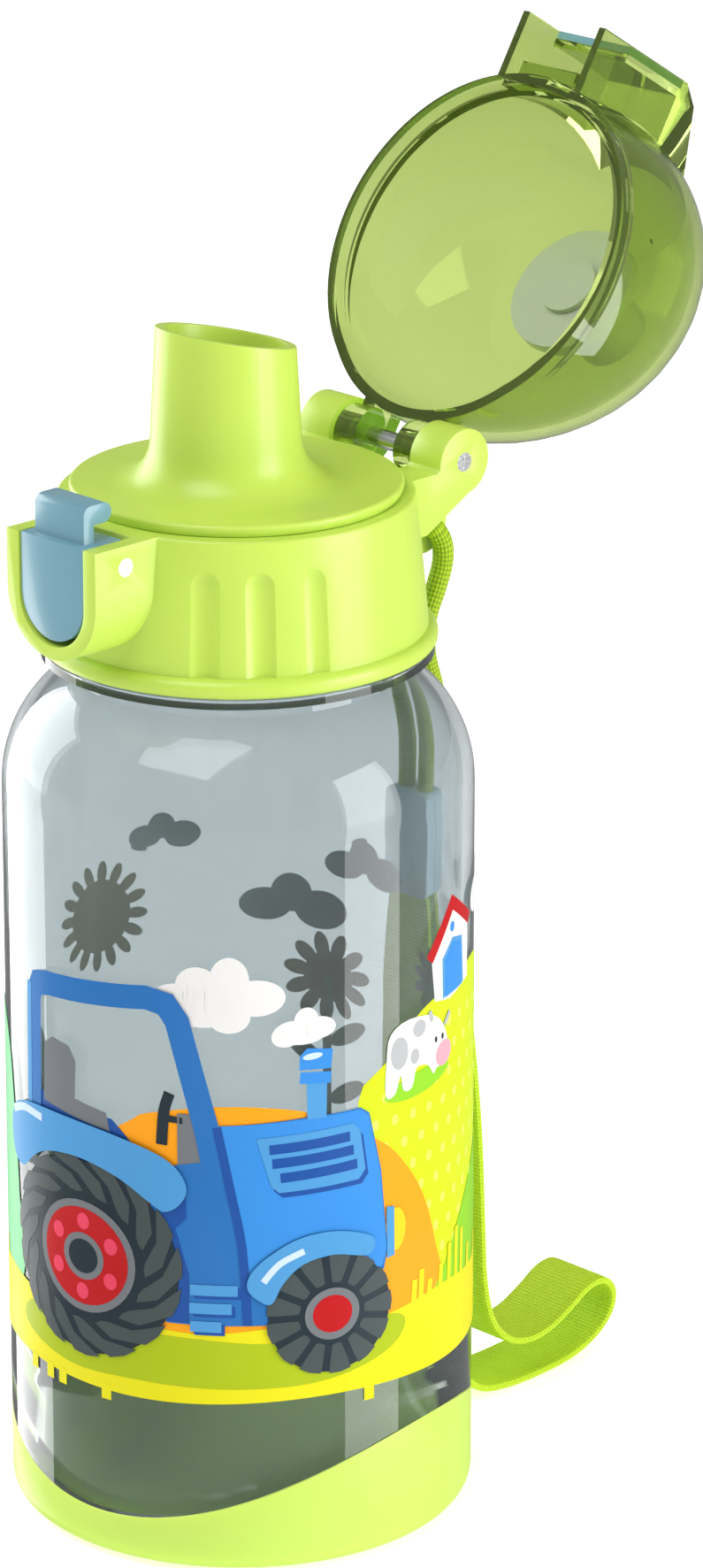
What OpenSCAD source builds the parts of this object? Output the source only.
// Children's drinking bottle: clear vessel in a soft boot, screw collar with a drinking spout,
// hinged clear lid with a push latch, and a carrying strap on a cord.
// Origin: centre of the rest face. +Z up, the latch faces -Y, the hinge is on +Y.
// The lid is drawn standing open.

/* [Vessel] */
// Outer diameter of the vessel
body_d = 70; // [68:0.5:76]
// Height where the straight wall ends and the shoulder begins
body_h = 113.5; // [90:0.5:140]
// Thickness of the vessel wall
body_wall = 1.8; // [1.2:0.1:2.4]
// Radius of the shoulder's curve
shoulder_r = 20; // [16:0.5:22]
// Outer diameter of the neck inside the collar
neck_d = 49.6; // [46:0.2:52]
// Outer diameter of the support ring under the collar
bead_d = 58; // [54:0.5:60]
// Height from the shoulder's start to the support ring
bead_rise = 19.9; // [17:0.1:24]
// Thickness of the support ring
bead_h = 1.4; // [1:0.1:2]
// Height of the neck above the support ring
neck_h = 15.2; // [12:0.1:20]

/* [Boot] */
// Thickness of the boot's wall
boot_wall = 1.5; // [1:0.1:2.2]
// Thickness of the boot's floor
boot_floor = 2.4; // [1.6:0.1:4]
// Lowest height of the boot's curved edge
boot_low = 7.6; // [5:0.1:12]
// Radius of the scoop that cuts the boot's edge
boot_scoop_r = 55.6; // [45:0.2:80]
// Direction of the scoop, seen from above
boot_turn = 10; // [0:1:45]

/* [Collar] */
// Outer diameter of the collar's wall at the bottom
collar_d = 56.2; // [54:0.2:60]
// Outer diameter of the collar's wall at the top
collar_top_d = 52.6; // [51:0.2:56]
// Height of the collar
collar_h = 22.8; // [20:0.1:26]
// Outer diameter of the foot ring
foot_d = 59; // [57:0.2:64]
// Height of the foot ring
foot_h = 2.8; // [2:0.1:4]
// Thickness of the collar's top deck
deck_h = 2.6; // [2:0.1:3.2]
// Number of grip flutes on each side
flute_count = 3; // [1:1:4]
// Angle between two flutes
flute_step = 16.7; // [12:0.1:20]
// Angle of the first flute from the latch
flute_first = 37; // [33:0.5:45]
// Width of a flute
flute_w = 4.6; // [3:0.1:5]
// Rise of one turn of the screw collar
screw_pitch = 4; // [3:0.5:6]

/* [Spout] */
// Outer diameter of the spout plate
plate_d = 49; // [47:0.2:50]
// Thickness of the plate above the deck
plate_h = 1.8; // [1.2:0.1:2.4]
// Outer diameter of the spout's tip
spout_d = 20.4; // [16:0.2:24]
// Height of the spout above the plate, on its axis
spout_h = 21.8; // [16:0.2:24]
// Thickness of the spout's wall
spout_wall = 1.3; // [1:0.1:2]
// Slope of the spout's mouth
spout_slope = 12.5; // [0:0.5:20]
// Offset of the spout towards the latch
spout_offset = 2.1; // [0:0.1:4]
// Radius of the flare at the spout's foot
flare_r = 6.5; // [4:0.1:8]
// Thickness of the mouth gasket
gasket_h = 1.8; // [1.4:0.1:2.4]

/* [Latch] */
// Half width of the latch housing
house_w = 9.4; // [9:0.1:11]
// Distance of the housing's face from the bottle's axis
house_reach = 36.5; // [35:0.1:39]
// Straight height of the housing above its round end
house_h = 8.4; // [7:0.1:10]
// Half width of the push button
button_w = 6.6; // [6:0.1:7]
// Thickness of the button's pad
button_wall = 2; // [1.6:0.1:2.4]
// Diameter of the latch pin
latch_pin_d = 2.7; // [2:0.1:3]
// Half width of the hook
hook_w = 5.2; // [4:0.1:6]
// Height of the hook above the housing
hook_h = 5.6; // [5:0.1:6]
// Wire diameter of the latch spring
spring_wire = 0.5; // [0.4:0.05:0.7]
// Outer diameter of the latch spring
spring_d = 5; // [4:0.1:5.6]
// Number of turns in the latch spring
spring_turns = 5; // [3:1:7]

/* [Hinge] */
// Distance of the hinge pin from the bottle's axis
hinge_y = 32; // [31:0.1:34]
// Height of the hinge pin above the collar's deck
hinge_rise = 0.7; // [0:0.1:2]
// Diameter of the hinge pin
hinge_pin_d = 2.9; // [2.4:0.1:3.4]
// Half of the outer width over both ears
ear_out = 15; // [14:0.1:17]
// Half of the gap between the ears
ear_in = 8.6; // [8:0.1:10]
// Radius of the ears round the pin
ear_r = 5; // [4.6:0.1:5.4]
// Half of the gap between the lid's knuckles
knuckle_in = 4.2; // [3:0.1:5]
// Radius of the lid's knuckles
knuckle_r = 4.2; // [3.6:0.1:4.5]
// Angle of the open lid
open_angle = 122; // [100:1:124]

/* [Lid] */
// Outer diameter of the lid's rim band
lid_d = 54.6; // [54:0.2:57]
// Thickness of the lid's wall
lid_wall = 1.6; // [1.2:0.1:2]
// Height of the rim band
band_h = 3; // [2:0.1:4]
// Height of the dome's centre above the rim
dome_rise = 8.6; // [7:0.1:10]
// Half length of the dome along its leaning axis
dome_long = 33; // [31:0.1:36]
// Lean of the dome towards the latch
dome_lean = 28; // [15:1:30]
// Half width of the lid's hood over the latch
hood_w = 8.5; // [8.2:0.1:9.3]
// Thickness of the hood's walls
hood_wall = 1.3; // [1:0.1:1.5]
// Height of the hood's roof edge above the rim
hood_h = 24.6; // [20:0.1:27]
// Height of the open gap below the hood's front wall
hood_gap = 7.4; // [6.8:0.1:9]
// Thickness of the coloured trim plate
trim_h = 1.2; // [0.8:0.1:1.6]
// Diameter of the stopper's flange
stopper_d = 21; // [20.4:0.2:26]

/* [Strap] */
// Diameter of the lug cord
cord_d = 3.2; // [2.8:0.1:3.4]
// Width of the webbing
web_w = 12; // [10:0.5:14]
// Thickness of the webbing
web_t = 1.2; // [0.8:0.1:1.4]
// Width of the webbing where it enters the clip
web_neck = 9; // [7:0.5:10]
// Width of the strap clip
clip_w = 10.4; // [10:0.2:14]
// Thickness of the strap clip
clip_t = 5.4; // [5:0.1:5.6]

/* [Hidden] */
$fn = 64;

leaf = "#c4e456";
lime = "#a9d418";
sky = "#7fb3c4";
steel = "#d4d7da";
clear = "#cfdde0";
clear_green = "#9ed23c";
milky = "#d9dccf";

eps = 0.01;
snug = 0.1;
gap = 0.3;
run = 0.05;

body_r = body_d / 2;
neck_r = neck_d / 2;
bead_r = bead_d / 2;
bead_z = body_h + bead_rise;
collar_z = bead_z + bead_h + snug;
neck_top = bead_z + bead_h + neck_h;
boot_r = body_r - boot_wall - snug;
boot_top = boot_low + boot_scoop_r - sqrt(boot_scoop_r * boot_scoop_r - body_r * body_r);
corner_r = 3.8;

deck_z = collar_z + collar_h;
collar_r = collar_d / 2;
collar_top_r = collar_top_d / 2;
foot_r = foot_d / 2;
thread_r = neck_r + 2 * snug;
plate_r = plate_d / 2;
plate_z = deck_z + plate_h;
waist_r = plate_r - 2;
flange_r = thread_r - snug;
gasket_z = neck_top + snug / 2;
seat_z = gasket_z + gasket_h + snug / 2;
bore_r = spout_d / 2 - spout_wall;
spout_top = plate_z + spout_h;

hinge_z = deck_z + hinge_rise;
latch_y = -house_reach + 5.9;
latch_z = deck_z - 3.2;
pocket_w = button_w + 0.25;
pocket_y = -thread_r - 2.4;
round_z = deck_z - house_h;
pad_y = -house_reach + 0.2;
swing_room = 0.6;

rim_z = deck_z + gap;
lid_r = lid_d / 2;
dome_z = rim_z + dome_rise;
dome_r = lid_r - 0.5;
hood_y = -house_reach;
front_z = rim_z + hood_gap;
roof_z = rim_z + hood_h;
catch_y = -house_reach + 7.3;
stopper_r = stopper_d / 2;
stopper_z = spout_top + gap;

lug_y = 36.8;
lug_z = deck_z - 12.6;
lug_t = 3.6;
lug_hole = cord_d / 2 + 0.5;
lug_out = lug_hole + 2.6;
clip_y = 39.6;
clip_top = lug_z - 42.7;
clip_low = clip_top - 17;
strand = 2.4;

// One side of the lug cord from the clip up to the lug's hole, as points from the lug's centre
CORD_SIDE = [
    [2.4, 2.8, -42.65], [2.4, 2.8, -39], [2.5, 2.6, -33], [2.7, 1.2, -26], [2.9, -0.6, -20],
    [3.4, -0.6, -14.5], [4.1, 1.4, -10], [4.6, 2.8, -6], [4.2, 2.0, -2.2], [2.8, 0.5, -0.3]
];
// The webbing's route in the Y-Z plane, from one end in the clip round to the other
WEB_ROUTE = [
    [38.2, 85.35], [38.2, 81], [38.1, 70], [38.2, 55], [38.4, 40], [38.6, 26], [39.4, 14], [41.8, 6.5],
    [46, 2.4], [52, 1], [60, 0.9], [67, 1.6], [72.4, 3.6], [75.6, 6.6], [76.2, 9.8], [74, 12.2],
    [70.4, 12], [66.4, 9.8], [62, 7.8], [57, 7.2], [52.4, 8.8], [48.8, 13], [47, 20], [46.4, 30],
    [45.6, 45], [44, 60], [42, 73], [41, 81], [41, 85.35]
];

// Point of a smooth curve through four points, t of the way from b to c
function curve_point(a, b, c, d, t) =
    0.5 * (2 * b + (c - a) * t + (2 * a - 5 * b + 4 * c - d) * t * t + (3 * b - a - 3 * c + d) * t * t * t);
// Route with extra points between the given ones
function smooth_route(p, n) = [
    for (i = [0:len(p) - 2], k = [0:n - 1])
        curve_point(p[max(i - 1, 0)], p[i], p[i + 1], p[min(i + 2, len(p) - 1)], k / n),
    p[len(p) - 1]
];
// Direction of a route at one of its points
function heading(p, i) =
    let (v = p[min(i + 1, len(p) - 1)] - p[max(i - 1, 0)]) v / norm(v);
function unit(v) = v / norm(v);
function join_lists(lists) = [for (one = lists, item = one) item];
// Faces of a tube made of rings that have the same number of points
function tube_faces(rings, sides) = concat(
    [[for (k = [0:sides - 1]) k]],
    [for (i = [0:rings - 2], k = [0:sides - 1])
        [i * sides + k, (i + 1) * sides + k, (i + 1) * sides + (k + 1) % sides, i * sides + (k + 1) % sides]],
    [[for (k = [sides - 1:-1:0]) (rings - 1) * sides + k]]
);

// Points of an arc about a centre
function arc(cx, cy, r, a0, a1, n) = [
    for (i = [0:n]) let (a = a0 + (a1 - a0) * i / n) [cx + r * cos(a), cy + r * sin(a)]
];

// Solid of the vessel's outside up to the support ring, made smaller by a wall
module vessel_form(wall, low) {
    r = body_r - wall;
    turn = shoulder_r - wall;
    neck_angle = acos((neck_r - wall - body_r + shoulder_r) / turn);
    foot = boot_r - wall - corner_r;
    rotate_extrude()
        polygon(concat(
            [[0, low]],
            arc(foot, low + corner_r, corner_r, -90, 0, 6),
            wall > 0 ? [[foot + corner_r, boot_top + 2], [r, boot_top + 10]] : [[r, low + corner_r]],
            arc(body_r - shoulder_r, body_h, turn, 0, neck_angle, 16),
            [[neck_r - wall, neck_top + wall], [0, neck_top + wall]]
        ));
}

// Everything below the boot's curved edge, lifted by a clearance
module below_scoop(lift) {
    rotate([0, 0, boot_turn])
        difference() {
            translate([-body_d, -body_d, -eps])
                cube([2 * body_d, 2 * body_d, boot_low + boot_scoop_r]);
            translate([0, body_d + 1, boot_low + boot_scoop_r + lift])
                rotate([90, 0, 0])
                    cylinder(r = boot_scoop_r, h = 2 * body_d + 2, $fn = 128);
        }
}

module bottle() {
    color(clear)
        difference() {
            union() {
                intersection() {
                    vessel_form(0, boot_floor + snug);
                    translate([0, 0, -eps])
                        cylinder(r = body_r + 1, h = neck_top + eps, $fn = 128);
                }
                translate([0, 0, bead_z])
                    cylinder(r = bead_r, h = bead_h, $fn = 96);
            }
            vessel_form(body_wall, boot_floor + snug + body_wall + 0.4);
            intersection() {
                difference() {
                    cylinder(r = body_r + 1, h = body_h, $fn = 128);
                    translate([0, 0, -1])
                        cylinder(r = boot_r, h = body_h + 2, $fn = 128);
                }
                below_scoop(snug);
            }
        }
}

module base_boot() {
    color(leaf)
        intersection() {
            difference() {
                rotate_extrude($fn = 128)
                    polygon(concat(
                        [[0, 0]],
                        arc(body_r - 3.6, 3.6, 3.6, -90, 0, 8),
                        [[body_r, body_h / 2], [0, body_h / 2]]
                    ));
                translate([0, 0, boot_floor])
                    rotate_extrude($fn = 128)
                        polygon(concat(
                            [[0, 0]],
                            arc(boot_r - corner_r, corner_r + snug, corner_r + snug, -90, 0, 8),
                            [[boot_r + snug, body_h], [0, body_h]]
                        ));
            }
            below_scoop(-snug);
        }
}

module mouth_gasket() {
    color(milky)
        translate([0, 0, gasket_z])
            difference() {
                cylinder(r = neck_r - 0.1, h = gasket_h);
                translate([0, 0, -1])
                    cylinder(r = neck_r - body_wall, h = gasket_h + 2);
            }
}

// Turned form of the collar: foot ring, sloping wall and top deck
module collar_form() {
    rotate_extrude($fn = 128)
        polygon(concat(
            [[thread_r, collar_z]],
            arc(foot_r - 1, collar_z + 1, 1, -90, 0, 5),
            arc(foot_r - 1.4, collar_z + foot_h - 1.4, 1.4, 0, 90, 5),
            [[collar_r, collar_z + foot_h + 0.3]],
            arc(collar_top_r - 0.6, deck_z - 0.6, 0.6, 5, 90, 4),
            [[waist_r + snug, deck_z], [waist_r + snug, deck_z - deck_h], [thread_r, deck_z - deck_h]]
        ));
}

// Cutters of the grip flutes, leaning with the wall
module flutes() {
    cutter_r = 3.5;
    lean = atan((collar_d - collar_top_d) / 2 / (collar_h - foot_h));
    reach = collar_r + sqrt(cutter_r * cutter_r - flute_w * flute_w / 4);
    low = collar_z + foot_h + 0.3;
    for (side = [-1, 1], i = [0:flute_count - 1])
        rotate([0, 0, -90 + side * (flute_first + i * flute_step)])
            translate([reach, 0, low])
                rotate([0, -lean, 0])
                    rotate([0, 0, 180]) {
                        cylinder(r = cutter_r, h = collar_h - 9.6, $fn = 48);
                        translate([0, 0, collar_h - 9.6])
                            sphere(r = cutter_r, $fn = 48);
                    }
}

// U-shaped prism with its flat side up, lying along Y
module u_prism(half_w, y0, y1, low) {
    translate([0, y1, 0])
        rotate([90, 0, 0])
            linear_extrude(height = y1 - y0)
                intersection() {
                    union() {
                        translate([0, low])
                            circle(r = half_w);
                        translate([-half_w, low])
                            square([2 * half_w, half_w + deck_z]);
                    }
                    translate([-half_w, low - half_w])
                        square([2 * half_w, half_w + deck_z - low]);
                }
}

// Hinge ears with the brackets that carry them
module ears() {
    for (side = [-1, 1])
        translate([side > 0 ? ear_in : -ear_out, 0, 0])
            rotate([90, 0, 90]) {
                translate([hinge_y, hinge_z])
                    cylinder(r = ear_r, h = ear_out - ear_in);
                linear_extrude(height = ear_out - ear_in)
                    polygon([
                        [neck_r - 6, deck_z - 9], [neck_r - 0.5, deck_z - 9],
                        [hinge_y + 3.6, hinge_z - 3.5], [hinge_y, hinge_z + ear_r - 1.2],
                        [hinge_y - 5.6, deck_z], [neck_r - 6, deck_z]
                    ]);
            }
}

// Strap lug: a drilled plate standing out of the collar's wall
module lug() {
    translate([-lug_t / 2, 0, 0])
        rotate([90, 0, 90])
            difference() {
                union() {
                    translate([lug_y, lug_z])
                        cylinder(r = lug_out, h = lug_t);
                    translate([neck_r, lug_z - lug_out])
                        cube([lug_y - neck_r, 2 * lug_out, lug_t]);
                }
                translate([lug_y, lug_z, -1])
                    cylinder(r = lug_hole, h = lug_t + 2);
            }
}

module collar() {
    color(leaf)
        difference() {
            union() {
                difference() {
                    collar_form();
                    flutes();
                }
                difference() {
                    union() {
                        u_prism(house_w, -house_reach, -neck_r + 1, round_z);
                        ears();
                        lug();
                    }
                    translate([0, 0, collar_z - 1])
                        cylinder(r = thread_r + 0.6, h = collar_h + 1 - deck_h);
                    translate([0, 0, collar_z])
                        cylinder(r = plate_r + snug, h = collar_h + 20);
                }
            }
            translate([0, 0, eps])
                u_prism(pocket_w, -house_reach - 1, pocket_y, round_z - swing_room);
            translate([-ear_in, hinge_y - knuckle_r - 0.5, hinge_z - knuckle_r - 0.6])
                cube([2 * ear_in, 2 * knuckle_r + 9, 3 * knuckle_r]);
            translate([-house_w - 1, latch_y, latch_z])
                rotate([0, 90, 0])
                    cylinder(d = latch_pin_d, h = 2 * house_w + 2);
            translate([-ear_out - 1, hinge_y, hinge_z])
                rotate([0, 90, 0])
                    cylinder(d = hinge_pin_d, h = 2 * ear_out + 2);
        }
}

module spout_plate() {
    tip_r = spout_d / 2;
    root_r = tip_r + 0.9;
    color(leaf)
        difference() {
            union() {
                rotate_extrude($fn = 128)
                    polygon(concat(
                        [[0, seat_z], [flange_r, seat_z], [flange_r, deck_z - deck_h - snug / 2],
                            [waist_r, deck_z - deck_h - snug / 2], [waist_r, deck_z + snug / 2],
                            [plate_r - 0.3, deck_z + snug / 2]],
                        arc(plate_r - 0.6, plate_z - 0.6, 0.6, 0, 90, 5),
                        [[0, plate_z]]
                    ));
                translate([0, -spout_offset, 0])
                    rotate_extrude($fn = 96)
                        polygon(concat(
                            [[0, plate_z - 0.5], [root_r + flare_r, plate_z - 0.5]],
                            arc(root_r + flare_r, plate_z + flare_r, flare_r, 270, 180, 10),
                            [[tip_r, spout_top + 1], [tip_r, spout_top + 6], [0, spout_top + 6]]
                        ));
            }
            translate([0, -spout_offset, seat_z - 1])
                cylinder(r = bore_r, h = spout_h + 40);
            translate([0, -spout_offset, seat_z - 1])
                cylinder(r1 = bore_r + 5.2, r2 = bore_r, h = plate_z - seat_z + 3.2);
            translate([0, -spout_offset, spout_top])
                rotate([-spout_slope, 0, 0])
                    translate([-spout_d, -spout_d, 0])
                        cube(2 * spout_d);
        }
}

module latch_button() {
    nose_r = 1.5;
    nose_y = catch_y - 0.5 - nose_r + 0.3;
    color(sky)
        difference() {
            union() {
                u_prism(button_w, pad_y, pad_y + button_wall, round_z);
                translate([-button_w, pad_y, latch_z - 2.8])
                    cube([2 * button_w, latch_y + 1.8 - pad_y, deck_z - latch_z + 2.8]);
                translate([-hook_w, latch_y - 4.2, deck_z - 1])
                    cube([2 * hook_w, 2, hook_h + 1 - nose_r]);
                translate([-hook_w, 0, 0])
                    rotate([90, 0, 90])
                        linear_extrude(height = 2 * hook_w)
                            union() {
                                translate([latch_y - 4.2 + nose_r, deck_z + hook_h - nose_r])
                                    circle(r = nose_r);
                                translate([nose_y, deck_z + hook_h - nose_r])
                                    circle(r = nose_r);
                                translate([latch_y - 4.2 + nose_r, deck_z + hook_h - 2 * nose_r])
                                    square([nose_y - latch_y + 4.2 - nose_r, 2 * nose_r]);
                            }
            }
            translate([-button_w - 1, latch_y, latch_z])
                rotate([0, 90, 0])
                    cylinder(d = latch_pin_d + 2 * run, h = 2 * button_w + 2);
        }
}

module latch_pin() {
    color(steel)
        translate([-house_w, latch_y, latch_z])
            rotate([0, 90, 0])
                cylinder(d = latch_pin_d, h = 2 * house_w);
}

// Compression spring between the pocket's back wall and the button's pad
module latch_spring() {
    y0 = pocket_y - 0.02;
    y1 = pad_y + button_wall + 0.1;
    r = (spring_d - spring_wire) / 2;
    wire_r = spring_wire / 2;
    steps = 16 * spring_turns;
    sides = 6;
    span = y0 - y1 - spring_wire;
    ring_points = [
        for (i = [0:steps], k = [0:sides - 1])
            let (a = 360 * spring_turns * i / steps, b = 360 * k / sides)
                [(r + wire_r * cos(b)) * cos(a), y0 - wire_r - span * i / steps + wire_r * sin(b),
                    (r + wire_r * cos(b)) * sin(a) + round_z - 2.4]
    ];
    color(steel)
        polyhedron(points = ring_points, faces = tube_faces(steps + 1, sides));
}

module hinge_pin() {
    color(steel)
        translate([-ear_out, hinge_y, hinge_z])
            rotate([0, 90, 0])
                cylinder(d = hinge_pin_d, h = 2 * ear_out);
}

// Turns what is drawn shut to where it stands open
module opened() {
    translate([0, hinge_y, hinge_z])
        rotate([-open_angle, 0, 0])
            translate([0, -hinge_y, -hinge_z])
                children();
}

// Leaning dome, made smaller by a wall
module dome_form(wall) {
    long = dome_long - wall;
    wide = dome_r - wall;
    translate([0, 0, dome_z])
        rotate([dome_lean, 0, 0])
            rotate_extrude($fn = 128)
                polygon([for (i = [0:30]) let (a = -90 + 6 * i) [wide * cos(a), long * sin(a)]]);
}

// Space inside the lid, down past its rim
module lid_inside() {
    dome_form(lid_wall);
    translate([0, 0, rim_z - 1])
        cylinder(r = lid_r - lid_wall, h = band_h + 1, $fn = 128);
}

// Side view of the hood that covers the latch
module hood_outline() {
    polygon([
        [hood_y, rim_z], [hood_y, roof_z - 3.4], [hood_y + 2.6, roof_z], [-20, roof_z + 5.4], [-16, roof_z],
        [-16, rim_z]
    ]);
}

module lid_closed() {
    difference() {
        union() {
            intersection() {
                dome_form(0);
                translate([-body_d, -body_d, rim_z])
                    cube([2 * body_d, 2 * body_d, 2 * dome_long]);
            }
            translate([0, 0, rim_z])
                cylinder(r = lid_r, h = band_h, $fn = 128);
            translate([-hood_w, 0, 0])
                rotate([90, 0, 90])
                    linear_extrude(height = 2 * hood_w)
                        hood_outline();
            for (side = [-1, 1])
                translate([side > 0 ? knuckle_in : -ear_in + 0.2, 0, 0])
                    rotate([90, 0, 90])
                        union() {
                            translate([hinge_y, hinge_z])
                                cylinder(r = knuckle_r, h = ear_in - knuckle_in - 0.2);
                            translate([lid_r - 5, rim_z])
                                cube([hinge_y - lid_r + 5, hinge_z + knuckle_r - rim_z, ear_in - knuckle_in - 0.2]);
                        }
        }
        lid_inside();
        difference() {
            translate([-hood_w + hood_wall, hood_y - 1, rim_z - 1])
                cube([2 * (hood_w - hood_wall), lid_r, hood_gap + 1]);
            translate([0, 0, rim_z - 2])
                cylinder(r = lid_r, h = hood_gap + 3, $fn = 128);
        }
        difference() {
            translate([-hood_w + hood_wall, hood_y + trim_h + hood_wall, rim_z - 1])
                cube([2 * (hood_w - hood_wall), lid_r, hood_h - hood_wall - 1.5]);
            dome_form(0);
            translate([0, 0, rim_z - 2])
                cylinder(r = lid_r, h = hood_gap + 3, $fn = 128);
        }
        translate([-hood_w + hood_wall, hood_y - 1, front_z - 1])
            cube([2 * (hood_w - hood_wall), trim_h + 1, roof_z - 3.6 - front_z + 1]);
        translate([-ear_in - 1, hinge_y, hinge_z])
            rotate([0, 90, 0])
                cylinder(d = hinge_pin_d + 2 * run, h = 2 * ear_in + 2);
    }
    difference() {
        translate([-hook_w - 0.4, catch_y, rim_z + 1])
            cube([2 * hook_w + 0.8, lid_r + catch_y + 4, 1.6]);
        lid_inside();
    }
}

module lid() {
    color(clear_green)
        opened()
            lid_closed();
}

module lid_trim_plate() {
    color(sky)
        opened()
            translate([-hood_w + hood_wall + snug, hood_y, front_z])
                cube([2 * (hood_w - hood_wall - snug), trim_h - snug / 2, roof_z - 3.7 - front_z]);
}

// Axis of the stopper: square to the spout's sloping mouth
module on_spout() {
    translate([0, -spout_offset, stopper_z])
        rotate([-spout_slope, 0, 0])
            children();
}

module spout_stopper() {
    color(milky)
        opened()
            difference() {
                intersection() {
                    on_spout()
                        rotate_extrude()
                            polygon([
                                [0, 0.2], [stopper_r, 0.2], [stopper_r, 2.2], [6.4, 4], [5.4, 20], [0, 20]
                            ]);
                    dome_form(lid_wall + snug);
                }
                on_spout()
                    translate([0, 0, -1])
                        cylinder(r = 1.6 + run, h = 30);
            }
}

// Rivet that fixes the stopper to the dome
module stopper_rivet() {
    color(milky)
        opened()
            intersection() {
                on_spout()
                    union() {
                        translate([0, 0, -0.4])
                            cylinder(r = 1.6, h = 30);
                        translate([0, 0, -0.8])
                            cylinder(r = 4.6, h = 0.9);
                    }
                dome_form(lid_wall + snug);
            }
}

module lug_cord() {
    near = [for (p = CORD_SIDE) p + [0, lug_y, lug_z]];
    far = [for (i = [len(CORD_SIDE) - 1:-1:0]) let (p = near[i]) [-p[0], p[1], p[2]]];
    route = smooth_route(concat(near, far), 2);
    sides = 8;
    points = join_lists([
        for (i = [0:len(route) - 1])
            let (t = heading(route, i), u = unit(cross(t, [0, 1, 0])), v = cross(u, t))
                [for (k = [0:sides - 1]) route[i] + cord_d / 2 * (cos(360 * k / sides) * u + sin(360 * k / sides) * v)]
    ]);
    color(lime)
        polyhedron(points = points, faces = tube_faces(len(route), sides));
}

module strap_webbing() {
    route = smooth_route(WEB_ROUTE, 2);
    last = len(route) - 1;
    points = join_lists([
        for (i = [0:last])
            let (
                t = heading(route, i),
                n = [-t[1], t[0]] * web_t / 2,
                half = (web_neck + (web_w - web_neck) * min(1, min(i, last - i) / 8)) / 2,
                across = [-half, -half + 0.3, half - 0.3, half, half, half - 0.3, -half + 0.3, -half],
                up = [0.4, 1, 1, 0.4, -0.4, -1, -1, -0.4]
            )
                [for (k = [0:7]) [across[k], route[i][0] + up[k] * n[0], route[i][1] + up[k] * n[1]]]
    ]);
    color(lime)
        polyhedron(points = points, faces = tube_faces(last + 1, 8));
}

// Upright plate with rounded corners seen from the side
module clip_block(t, y0) {
    edge = 1.6;
    translate([0, y0 + t, clip_low])
        rotate([90, 0, 0])
            linear_extrude(height = t)
                union() {
                    translate([-clip_w / 2 + edge, 0])
                        square([clip_w - 2 * edge, clip_top - clip_low]);
                    translate([-clip_w / 2, edge])
                        square([clip_w, clip_top - clip_low - 2 * edge]);
                    for (x = [-1, 1], z = [edge, clip_top - clip_low - edge])
                        translate([x * (clip_w / 2 - edge), z])
                            circle(r = edge);
                }
}

// Pegs of the clip, or the holes that take them
module clip_pegs(r, y0, length) {
    for (z = [3.2, clip_top - clip_low - 3.2])
        translate([0, y0 + length, clip_low + z])
            rotate([90, 0, 0])
                cylinder(r = r, h = length);
}

module strap_clip_front() {
    color(sky)
        difference() {
            clip_block(clip_t / 2, clip_y - clip_t / 2);
            clip_pegs(0.9 + run, clip_y - 1.5, 2);
        }
}

module strap_clip_back() {
    color(sky)
        union() {
            clip_block(clip_t / 2 - snug / 2, clip_y + snug / 2);
            clip_pegs(0.9, clip_y - 1.4, 2);
        }
}

bottle();
base_boot();
mouth_gasket();
collar();
spout_plate();
latch_button();
latch_pin();
latch_spring();
hinge_pin();
lid();
lid_trim_plate();
spout_stopper();
stopper_rivet();
lug_cord();
strap_clip_front();
strap_clip_back();
strap_webbing();
